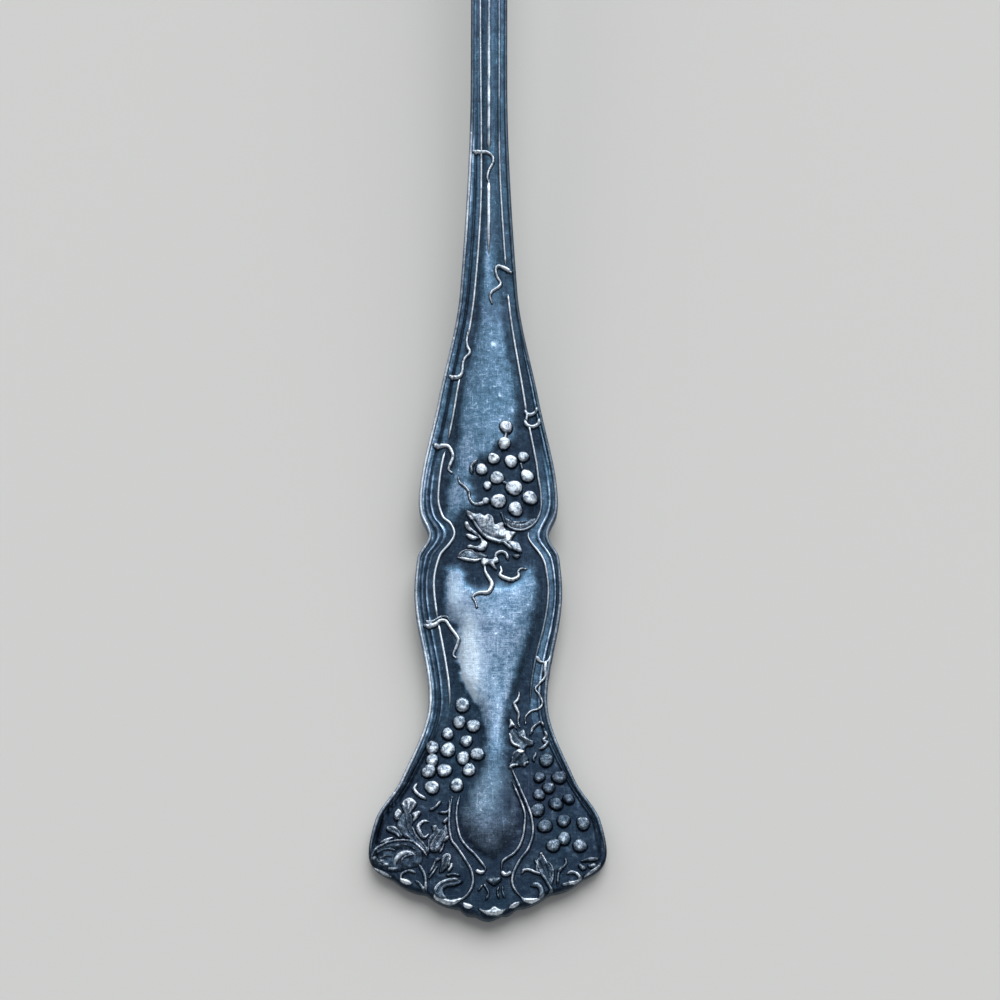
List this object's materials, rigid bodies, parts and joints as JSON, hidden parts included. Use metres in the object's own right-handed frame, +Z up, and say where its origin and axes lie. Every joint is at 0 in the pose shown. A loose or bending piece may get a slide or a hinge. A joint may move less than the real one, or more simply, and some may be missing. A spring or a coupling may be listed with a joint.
{
  "type": "olive server",
  "caption": "Long-handled serving spoon with a pierced egg-shaped bowl and a flared handle with raised grapevine, thread and scroll ornament, for lifting olives from liquid.",
  "frame": {"origin": "on the table plane, midway between the handle tip and the bowl tip and midway across", "axes": "+X to the right seen from above with the handle towards the viewer, +Y from the handle tip to the bowl tip, +Z up"},
  "size_m": [0.031, 0.21, 0.0133],
  "materials": {
    "bowl_plate": "silver plate on nickel silver, lightly tarnished",
    "ground_plate": "silver plate on nickel silver, tarnished blue",
    "border_plate": "silver plate on nickel silver, worn bright on top",
    "ornament_plate": "silver plate on nickel silver, worn bright on top"
  },
  "bodies": {
    "root": {"bowl": "bowl_plate", "shank": "ground_plate", "rim_left": "border_plate", "rim_right": "border_plate", "thread_left": "border_plate", "thread_right_upper": "border_plate", "thread_right_lower": "border_plate", "stem_rib": "border_plate", "tendril_stem_left": "ornament_plate", "tendril_stem_right": "ornament_plate", "tendril_taper_left": "ornament_plate", "tendril_shoulder_left": "ornament_plate", "clasp_right": "ornament_plate", "tendril_hip_left": "ornament_plate", "tendril_waist_right": "ornament_plate", "bunch_upper": "ornament_plate", "bunch_left": "ornament_plate", "bunch_right": "ornament_plate", "leaf_upper": "ornament_plate", "leaf_right": "ornament_plate", "frame_left": "border_plate", "frame_right": "border_plate", "volute_left": "border_plate", "volute_right": "border_plate", "acanthus_left": "ornament_plate", "acanthus_right": "ornament_plate", "tip_shell": "ornament_plate"}
  },
  "joints": []
}
